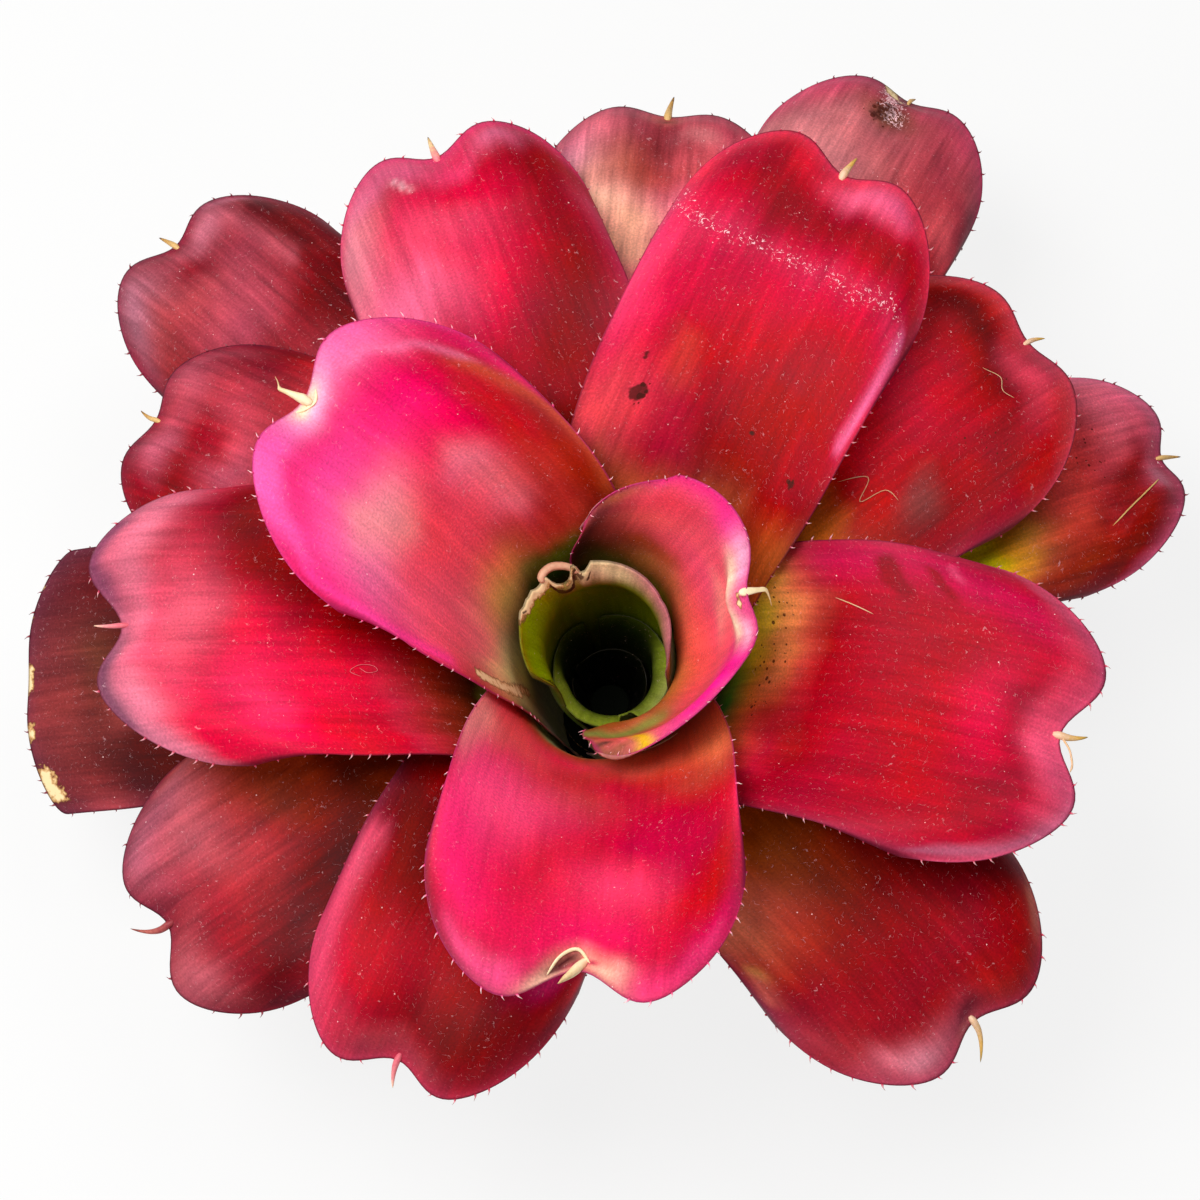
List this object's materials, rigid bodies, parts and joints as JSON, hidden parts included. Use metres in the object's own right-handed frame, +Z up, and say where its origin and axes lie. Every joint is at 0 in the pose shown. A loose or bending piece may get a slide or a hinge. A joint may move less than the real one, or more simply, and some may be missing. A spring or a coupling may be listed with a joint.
{
  "type": "bromeliad",
  "caption": "Tank bromeliad rosette, picked and cut flat below its leaves: broad pink-red strap leaves with notched, spine-tipped ends round a green water cup, standing on its short stem.",
  "frame": {"origin": "the middle of the flat cut face of the stem, on the surface that the plant stands on", "axes": "+Z up along the rosette's axis, -Y towards the viewer, +X to the viewer's right"},
  "size_m": [0.3932, 0.3729, 0.1755],
  "materials": {
    "heart_leaf": "satin, moist green",
    "young_leaf": "satin, waxy, hot pink",
    "ripe_leaf": "satin, waxy, crimson",
    "old_leaf": "satin, dull maroon",
    "stem": "matte, woody, leaf scars"
  },
  "bodies": {
    "root": {"stem": "stem", "heart_leaf_inner": "heart_leaf", "heart_leaf_middle": "heart_leaf", "heart_leaf_outer": "heart_leaf", "leaf_01": "young_leaf", "leaf_02": "young_leaf", "leaf_03": "young_leaf", "leaf_04": "ripe_leaf", "leaf_05": "ripe_leaf", "leaf_06": "ripe_leaf", "leaf_07": "ripe_leaf", "leaf_08": "ripe_leaf", "leaf_09": "ripe_leaf", "leaf_10": "old_leaf", "leaf_11": "ripe_leaf", "leaf_12": "old_leaf", "leaf_13": "old_leaf", "leaf_14": "old_leaf", "leaf_15": "old_leaf", "leaf_16": "old_leaf", "leaf_17": "old_leaf"}
  },
  "joints": []
}
